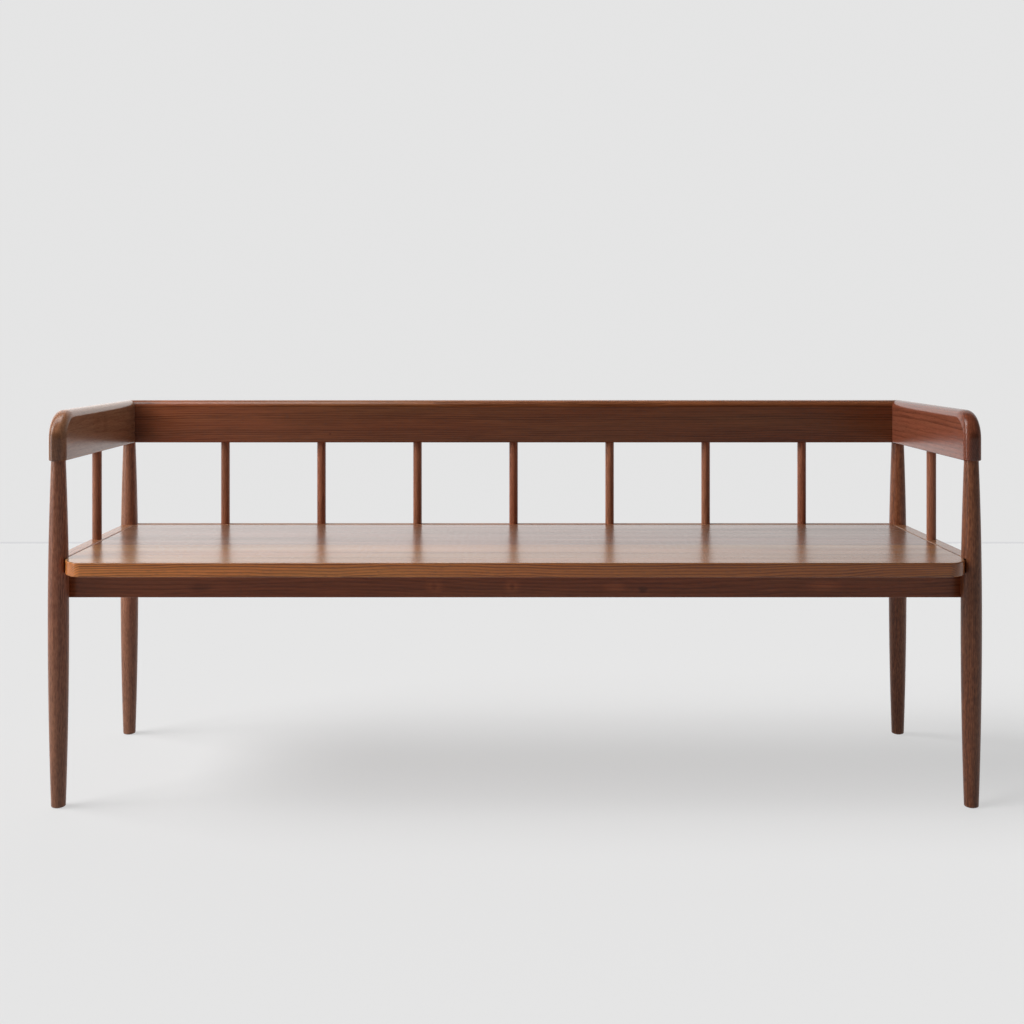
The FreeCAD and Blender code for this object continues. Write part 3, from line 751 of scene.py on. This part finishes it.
        noses = [e for e in bm.edges if lies_at(e, 1, front) and lies_at(e, 2, ARM_HIGH.z)]
        round_edges(bm, noses, sizes.nose_radius, 2 * sizes.round_steps)
        outline = [e for e in bm.edges if self.is_rounded(e, front, rear)]
        round_edges(bm, outline, sizes.round_over, sizes.round_steps)
        under = [
            e for e in bm.edges
            if lies_at(e, 2, ARM_UNDERSIDE) and e.calc_face_angle() > CORNER_ANGLE]
        round_edges(bm, under, sizes.lower_edge, 3)
        return bm

    def is_rounded(self, edge, front, rear):
        """Whether an edge is on the top outline, down a nose or up an outer rear corner."""
        if edge.calc_face_angle() < CORNER_ANGLE:
            return False
        if is_upright(edge):
            return lies_at(edge, 1, front) or lies_at(edge, 1, rear)
        return not lies_at(edge, 2, ARM_UNDERSIDE)


def part_at_mitre(bm, place, outwards):
    """Cuts away what lies beyond a plane and closes the cut."""
    bmesh.ops.bisect_plane(
        bm, geom=bm.verts[:] + bm.edges[:] + bm.faces[:], dist=TINY / 100,
        plane_co=place, plane_no=outwards, clear_outer=True)
    bmesh.ops.holes_fill(bm, edges=[edge for edge in bm.edges if edge.is_boundary], sides=0)


class BENCH_OT_cut_seat_board(Operator):
    """Cut the seat board, with soft front corners and eased edges"""

    bl_idname = "bench.cut_seat_board"
    bl_label = "Cut Seat Board"

    def execute(self, context):
        sizes = context.scene.bench_seat
        colours = context.scene.bench_walnut
        material = walnut(
            "seat_walnut", "x", (0.0, 0.50, -0.28), self.board_colours, pitch=0.0023, lines=1.30,
            streaks=0.75, wander=0.032, satin=0.25, tone_scale=(1.3, 40.0, 40.0), relief=0.0, ior=1.5,
            grain_share=self.board_grain, late_start=0.45)
        squeeze = sizes.corner_width / sizes.corner_depth
        bm = bmesh.new()
        bmesh.ops.create_cube(bm, size=1.0)
        bmesh.ops.scale(bm, vec=SEAT_HIGH - SEAT_LOW, verts=bm.verts)
        bmesh.ops.translate(bm, vec=centre_of("seat_board"), verts=bm.verts)
        bmesh.ops.scale(bm, vec=(1, squeeze, 1), verts=bm.verts)
        corners = [e for e in bm.edges if is_upright(e) and e.verts[0].co.y < 0]
        round_edges(bm, corners, sizes.corner_width, 28)
        bmesh.ops.scale(bm, vec=(1, 1 / squeeze, 1), verts=bm.verts)
        rims = [e for e in bm.edges if lies_at(e, 2, SEAT_TOP) or lies_at(e, 2, SEAT_LOW.z)]
        round_edges(bm, rims, sizes.edge, 4)
        finish_piece("seat_board_cut", bm, material, ("seat_board",))
        return {"FINISHED"}

    def board_colours(self, tree, place):
        """Two staves glued edge to edge on top, and golden wood where the board is cut at its edge,
        lighter at the left by painted lamp light that falls off to the right.
        """
        colours = bpy.context.scene.bench_walnut
        side = add(tree, "ShaderNodeSeparateXYZ", {0: place}).outputs
        is_front = remap(
            tree, side[1], STAVE_JOINT - STAVE_JOINT_HALF, STAVE_JOINT + STAVE_JOINT_HALF, 1.0, 0.0)
        top = mix_colours(tree, is_front, colours.seat_rear, colours.seat_front)
        # Painted falloff of the lamp light along the edge and the underside, from left to right.
        along = remap(tree, side[0], SEAT_LOW.x, SEAT_HIGH.x)
        edge = mix_colours(tree, along, colours.edge_left_lit, colours.edge_right_shaded)
        return mix_colours(tree, self.top_share(tree, place), edge, top)

    def top_share(self, tree, place):
        """1 on the board's top, 0 on its edges and underside."""
        height = add(tree, "ShaderNodeSeparateXYZ", {0: place}).outputs[2]
        return remap(tree, height, SEAT_TOP - 0.0014, SEAT_TOP - 0.0004)

    def board_grain(self, tree, place):
        """Fine grain, plain at the edges and faint under the polish of the top."""
        return remap(tree, self.top_share(tree, place), 0.0, 1.0, 1.0, 0.50)


class BENCH_OT_fit_seat_frame(Operator):
    """Fit the side rails, the rear rail and the apron between the legs"""

    bl_idname = "bench.fit_seat_frame"
    bl_label = "Fit Seat Frame"

    def execute(self, context):
        sizes = context.scene.bench_frame
        colours = context.scene.bench_walnut
        lengthways = walnut(
            "frame_walnut_lengthways", "x", (0.0, -0.12, -0.64), colours.frame, pitch=0.0045, lines=0.30,
            ior=1.36, spots=self.knots())
        sideways = walnut("frame_walnut_sideways", "y", (0.3, 0.12, -0.64), colours.frame)
        beside = walnut("side_rail_walnut", "y", (0.3, 0.12, -0.64), colours.side_rails, relief=0.03)
        shoulder_x = LEG_X - sizes.shoulder
        for node in ("left_seat_rail", "right_seat_rail"):
            low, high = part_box(node)
            low.y = FRONT_LEG_Y + sizes.shoulder
            high.y = REAR_LEG_Y - sizes.shoulder
            self.fit(node, 1, low, high, beside)
        behind = walnut(
            "rear_rail_walnut", "x", (0.0, -0.12, -0.64), self.rear_colours, pitch=0.0045, lines=0.30,
            satin=0.45, ior=1.30)
        low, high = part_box("rear_seat_rail")
        low.x, high.x = -shoulder_x, shoulder_x
        self.fit("rear_seat_rail", 0, low, high, behind)
        low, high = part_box("front_apron")
        low.x, high.x = SIDE_RAIL_HIGH.x, -SIDE_RAIL_HIGH.x
        self.fit("front_apron", 0, low, high, lengthways)
        return {"FINISHED"}

    def rear_colours(self, tree, place):
        """Light wood on top of the rear rail, dark red below."""
        colours = bpy.context.scene.bench_walnut
        height = add(tree, "ShaderNodeSeparateXYZ", {0: place}).outputs[2]
        top = remap(tree, height, SEAT_TOP - 0.003, SEAT_TOP - 0.001)
        return mix_colours(tree, top, colours.frame, colours.side_rails)

    def knots(self):
        """Light and dark ovals along the apron's face."""
        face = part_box("front_apron")[0].y
        return [
            ((x, face, z), (width, 0.03, height), darkness)
            for x, z, width, height, darkness in (
                (-0.144, 0.386, 0.024, 0.016, -0.50), (-0.144, 0.386, 0.008, 0.010, 0.45),
                (-0.005, 0.386, 0.021, 0.016, -0.48), (-0.005, 0.386, 0.007, 0.009, 0.50),
                (0.1785, 0.384, 0.026, 0.012, -0.45), (0.2284, 0.380, 0.012, 0.009, 0.55),
                (0.551, 0.386, 0.045, 0.014, -0.40), (-0.560, 0.384, 0.030, 0.012, 0.35))]

    def fit(self, node, axis, low, high, material):
        bm = bmesh.new()
        bmesh.ops.create_cube(bm, size=1.0)
        bmesh.ops.scale(bm, vec=high - low, verts=bm.verts)
        bmesh.ops.translate(bm, vec=(low + high) / 2, verts=bm.verts)
        run = [e for e in bm.edges if abs(e.verts[0].co[axis] - e.verts[1].co[axis]) > TINY]
        round_edges(bm, run, bpy.context.scene.bench_frame.edge, 3)
        finish_piece(node + "_fitted", bm, material, (node,))


class BENCH_OT_finish_hidden_pieces(Operator):
    """Finish the bearers, cleats, splines, screws and glides"""

    bl_idname = "bench.finish_hidden_pieces"
    bl_label = "Finish Hidden Pieces"

    def execute(self, context):
        lengthways = bpy.data.materials["frame_walnut_lengthways"]
        sideways = bpy.data.materials["frame_walnut_sideways"]
        beech = self.beech()
        zinc = self.zinc()
        nylon = self.nylon()
        for node, piece in frame["nodes"].items():
            if node.startswith("cross_bearer") or node in ("left_cleat", "right_cleat"):
                piece.material_slots[0].material = sideways
            elif node == "rear_cleat":
                piece.material_slots[0].material = lengthways
            elif node.endswith("mitre_spline"):
                piece.material_slots[0].material = beech
            elif node.endswith("screws"):
                piece.material_slots[0].material = zinc
            elif node.endswith("glide"):
                piece.material_slots[0].material = nylon
        return {"FINISHED"}

    def beech(self):
        material, tree, shader = new_material("spline_beech")
        place = add(tree, "ShaderNodeTexCoord").outputs["Object"]
        flecks = noise(tree, place, (300.0, 300.0, 60.0)).outputs["Fac"]
        wood = mix_colours(tree, remap(tree, flecks, 0.4, 0.7), (0.55, 0.33, 0.17), (0.38, 0.21, 0.10))
        tree.links.new(wood, shader.inputs["Base Color"])
        tree.links.new(remap(tree, flecks, 0.2, 0.8, 0.5, 0.65), shader.inputs["Roughness"])
        return material

    def zinc(self):
        material, tree, shader = new_material("screw_steel")
        place = add(tree, "ShaderNodeTexCoord").outputs["Object"]
        clouds = noise(tree, place, (350.0, 350.0, 350.0), detail=3.0).outputs["Fac"]
        metal = mix_colours(tree, remap(tree, clouds, 0.3, 0.7), (0.62, 0.53, 0.32), (0.50, 0.46, 0.38))
        tree.links.new(metal, shader.inputs["Base Color"])
        tree.links.new(remap(tree, clouds, 0.3, 0.7, 0.25, 0.42), shader.inputs["Roughness"])
        shader.inputs["Metallic"].default_value = 1.0
        return material

    def nylon(self):
        material, tree, shader = new_material("glide_nylon")
        place = add(tree, "ShaderNodeTexCoord").outputs["Object"]
        grains = noise(tree, place, (2500.0, 2500.0, 2500.0)).outputs["Fac"]
        share = remap(tree, grains, 0.3, 0.7)
        plastic = mix_colours(tree, share, (0.012, 0.010, 0.009), (0.020, 0.017, 0.015))
        tree.links.new(plastic, shader.inputs["Base Color"])
        tree.links.new(remap(tree, grains, 0.3, 0.7, 0.45, 0.6), shader.inputs["Roughness"])
        return material


class BENCH_OT_set_stage(Operator):
    """Set up the floor, the backdrop, the lamps and the camera"""

    bl_idname = "bench.set_stage"
    bl_label = "Set Stage"

    def execute(self, context):
        settings = context.scene.bench_studio
        self.backdrop(settings)
        self.lamps(settings)
        self.surroundings(settings)
        self.camera(settings)
        context.scene.view_settings.view_transform = "Standard"
        return {"FINISHED"}

    def backdrop(self, settings):
        """Pale grey floor and wall, plain to the camera."""
        floor_centre = (0, settings.wall_place - STAGE_REACH / 2, 0)
        wall_centre = (0, settings.wall_place, STAGE_HEIGHT / 2)
        upright = Matrix.Rotation(math.pi / 2, 3, "X")
        for name, depth, turned, centre, material in (
                ("floor", STAGE_REACH, Matrix.Identity(3), floor_centre, self.floor_paint(settings)),
                ("backdrop_wall", STAGE_HEIGHT, upright, wall_centre, self.wall_paint(settings))):
            bm = bmesh.new()
            bmesh.ops.create_grid(bm, x_segments=1, y_segments=1, size=0.5)
            bmesh.ops.scale(bm, vec=(STAGE_REACH, depth, 1), verts=bm.verts)
            bmesh.ops.rotate(bm, cent=(0, 0, 0), matrix=turned, verts=bm.verts)
            bmesh.ops.translate(bm, vec=centre, verts=bm.verts)
            mesh = bpy.data.meshes.new(name)
            bm.to_mesh(mesh)
            bm.free()
            mesh.materials.append(material)
            stand = bpy.data.objects.new(name, mesh)
            bpy.context.scene.collection.objects.link(stand)
            stand.visible_diffuse = name == "floor"
            stand.visible_shadow = name == "floor"

    def stage_material(self, name):
        material = bpy.data.materials.new(name)
        material.use_nodes = True
        tree = material.node_tree
        tree.nodes.clear()
        return material, tree

    def floor_paint(self, settings):
        """Pale floor: part of its brightness is its own, so the shadow on it stays light."""
        material, tree = self.stage_material("floor_paint")
        path = add(tree, "ShaderNodeLightPath")
        bounced = tuple(value * settings.floor_bounce for value in settings.backdrop)
        colour = mix_colours(tree, path.outputs["Is Diffuse Ray"], tuple(settings.backdrop), bounced)
        matt = add(tree, "ShaderNodeBsdfDiffuse", {"Color": colour})
        glow = add(tree, "ShaderNodeEmission", {"Color": (*settings.backdrop, 1.0), "Strength": 1.0})
        seen = calculate(tree, "SUBTRACT", 1.0, path.outputs["Is Diffuse Ray"])
        share = calculate(tree, "MULTIPLY", seen, settings.floor_glow)
        both = add(tree, "ShaderNodeMixShader", {0: share, 1: matt.outputs[0], 2: glow.outputs[0]})
        self.clear_from_behind(tree, both)
        return material

    def clear_from_behind(self, tree, paint):
        """Ends a stage material that is looked through from behind, to show the bench's far sides."""
        behind = add(tree, "ShaderNodeNewGeometry").outputs["Backfacing"]
        clear = add(tree, "ShaderNodeBsdfTransparent")
        whole = add(
            tree, "ShaderNodeMixShader", {0: behind, 1: paint.outputs[0], 2: clear.outputs[0]})
        add(tree, "ShaderNodeOutputMaterial", {"Surface": whole.outputs[0]})

    def wall_paint(self, settings):
        """Even grey with a thin seam at the floor; reflections show it brighter to the left."""
        material, tree = self.stage_material("wall_paint")
        place = add(tree, "ShaderNodeTexCoord").outputs["Object"]
        side = add(tree, "ShaderNodeSeparateXYZ", {0: place}).outputs
        shine = calculate(tree, "MULTIPLY_ADD", side[0], -settings.wall_slope, settings.wall_shine)
        path = add(tree, "ShaderNodeLightPath")
        seam = remap(tree, side[2], *SEAM_Z, 1.0, 0.0)
        colour = mix_colours(tree, seam, tuple(settings.backdrop), tuple(settings.seam))
        grey = add(tree, "ShaderNodeEmission", {"Color": colour, "Strength": 1.0})
        mirrored = add(tree, "ShaderNodeEmission", {"Color": (1.0, 1.0, 1.0, 1.0), "Strength": shine})
        both = add(tree, "ShaderNodeMixShader",
                   {0: path.outputs["Is Glossy Ray"], 1: grey.outputs[0], 2: mirrored.outputs[0]})
        self.clear_from_behind(tree, both)
        return material

    def lamps(self, settings):
        """Three soft lamps, left and overhead, for the bench, and two even ones for the floor alone."""
        floor = bpy.data.objects["floor"]
        for name, size, place, power in (
                ("window_lamp", (1.2, 2.6), (-2.3, -0.75, 2.5), settings.window_power),
                ("side_lamp", (0.9, 2.0), (-3.0, -0.85, 1.15), settings.side_power),
                ("ceiling_lamp", (1.4, 1.0), (-0.9, -0.3, 2.7), settings.ceiling_power)):
            lamp = bpy.data.lights.new(name, "AREA")
            lamp.shape = "RECTANGLE"
            lamp.size, lamp.size_y = size
            lamp.energy = power
            stand = bpy.data.objects.new(name, lamp)
            stand.location = place
            aim = LAMP_AIM - stand.location
            stand.rotation_euler = aim.to_track_quat("-Z", "Y").to_euler()
            stand.visible_camera = False
            bpy.context.scene.collection.objects.link(stand)
            self.light_only(stand, floor, "EXCLUDE")
        for name, sideways in (("floor_sun_front", -0.08), ("floor_sun_rear", 0.30)):
            sun = bpy.data.lights.new(name, "SUN")
            sun.energy = settings.floor_sun / 2
            sun.angle = SUN_ANGLE
            stand = bpy.data.objects.new(name, sun)
            aim = Vector((0.90, sideways, -1.0))
            stand.rotation_euler = aim.to_track_quat("-Z", "Y").to_euler()
            bpy.context.scene.collection.objects.link(stand)
            self.light_only(stand, floor, "INCLUDE")

    def light_only(self, lamp, floor, state):
        """Makes a lamp light the floor alone, or everything but the floor."""
        lit = bpy.data.collections.new(lamp.name + "_receivers")
        lit.objects.link(floor)
        lit.collection_objects[0].light_linking.link_state = state
        lamp.light_linking.receiver_collection = lit

    def surroundings(self, settings):
        """Soft light from the right and from behind, and the backdrop's grey where it ends."""
        world = bpy.context.scene.world or bpy.data.worlds.new("studio")
        bpy.context.scene.world = world
        world.use_nodes = True
        tree = world.node_tree
        tree.nodes.clear()
        direction = add(tree, "ShaderNodeTexCoord").outputs["Generated"]
        sides = add(tree, "ShaderNodeSeparateXYZ", {0: direction})
        level = 0.0
        for axis, strength in ((0, settings.room_right), (1, settings.room_back)):
            towards = calculate(tree, "MAXIMUM", sides.outputs[axis], 0.0)
            lobe = calculate(tree, "MULTIPLY", towards, towards)
            level = calculate(tree, "MULTIPLY_ADD", lobe, strength, level)
        room = add(tree, "ShaderNodeBackground", {"Color": (1.0, 1.0, 1.0, 1.0), "Strength": level})
        seen = add(tree, "ShaderNodeBackground", {"Color": (*settings.backdrop, 1.0), "Strength": 1.0})
        path = add(tree, "ShaderNodeLightPath")
        both = add(tree, "ShaderNodeMixShader",
                   {0: path.outputs["Is Camera Ray"], 1: room.outputs[0], 2: seen.outputs[0]})
        add(tree, "ShaderNodeOutputWorld", {"Surface": both.outputs[0]})

    def camera(self, settings):
        camera = bpy.data.cameras.new("camera")
        camera.lens = settings.lens
        camera.sensor_width = SENSOR_WIDTH
        camera.shift_x, camera.shift_y = CAMERA_SHIFT
        stand = bpy.data.objects.new("camera", camera)
        stand.location = settings.camera_place
        stand.rotation_euler = (math.pi / 2, 0, 0)
        bpy.context.scene.collection.objects.link(stand)
        bpy.context.scene.camera = stand


class BENCH_PT_sidebar(Panel):
    """Buttons and sizes of the bench"""

    bl_idname = "BENCH_PT_sidebar"
    bl_label = "Deacons Bench"
    bl_space_type = "VIEW_3D"
    bl_region_type = "UI"
    bl_category = "Bench"

    def draw(self, context):
        for operator in STEPS:
            self.layout.operator(operator.bl_idname)
        for name, group in SETTINGS.items():
            box = self.layout.box()
            box.label(text=group.__doc__)
            for size in group.__annotations__:
                box.prop(getattr(context.scene, name), size)


SETTINGS = {
    "bench_legs": LegSizes,
    "bench_spindles": SpindleSizes,
    "bench_rails": RailSizes,
    "bench_seat": SeatSizes,
    "bench_frame": FrameSizes,
    "bench_walnut": WalnutColours,
    "bench_studio": StudioSettings,
}
STEPS = (
    BENCH_OT_turn_legs,
    BENCH_OT_turn_spindles,
    BENCH_OT_shape_rails,
    BENCH_OT_cut_seat_board,
    BENCH_OT_fit_seat_frame,
    BENCH_OT_finish_hidden_pieces,
    BENCH_OT_set_stage,
)
CLASSES = (*SETTINGS.values(), *STEPS, BENCH_PT_sidebar)


def register():
    for one in CLASSES:
        bpy.utils.register_class(one)
    for name, group in SETTINGS.items():
        setattr(bpy.types.Scene, name, PointerProperty(type=group))


def unregister():
    for name in SETTINGS:
        delattr(bpy.types.Scene, name)
    for one in reversed(CLASSES):
        bpy.utils.unregister_class(one)


def main():
    register()
    for step in STEPS:
        group, operator = step.bl_idname.split(".")
        getattr(getattr(bpy.ops, group), operator)()


if __name__ == "__main__":
    main()
